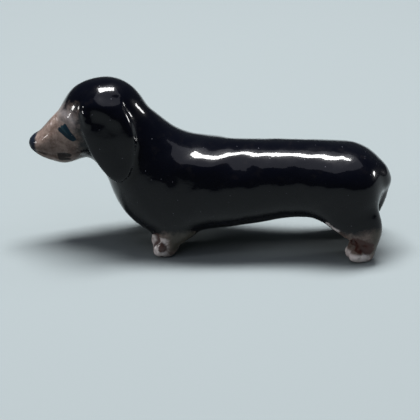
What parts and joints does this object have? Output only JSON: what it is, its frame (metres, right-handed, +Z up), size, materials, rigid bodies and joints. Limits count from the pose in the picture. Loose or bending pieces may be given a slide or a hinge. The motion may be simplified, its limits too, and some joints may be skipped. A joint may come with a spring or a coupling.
{
  "type": "ceramic dachshund figurine",
  "caption": "Small free-standing dachshund figurine in glazed ceramic, black with tan muzzle and paws; an ornament that rests on its paw soles.",
  "frame": {"origin": "centre of the bounding box, on the plane of the soles", "axes": "+X towards the tail, so the nose points to -X; +Y towards the dog's right side; +Z up"},
  "size_m": [0.0689, 0.0166, 0.0344],
  "materials": {
    "black_glaze": "glossy black glaze",
    "face_glaze": "glossy, tan muzzle shading to black",
    "tan_glaze": "glossy tan glaze with pale toes"
  },
  "bodies": {
    "root": {"torso": "black_glaze", "head": "face_glaze", "ear_left": "black_glaze", "ear_right": "black_glaze", "foreleg_left": "tan_glaze", "foreleg_right": "tan_glaze", "hind_leg_left": "tan_glaze", "hind_leg_right": "tan_glaze", "tail": "black_glaze"}
  },
  "joints": []
}
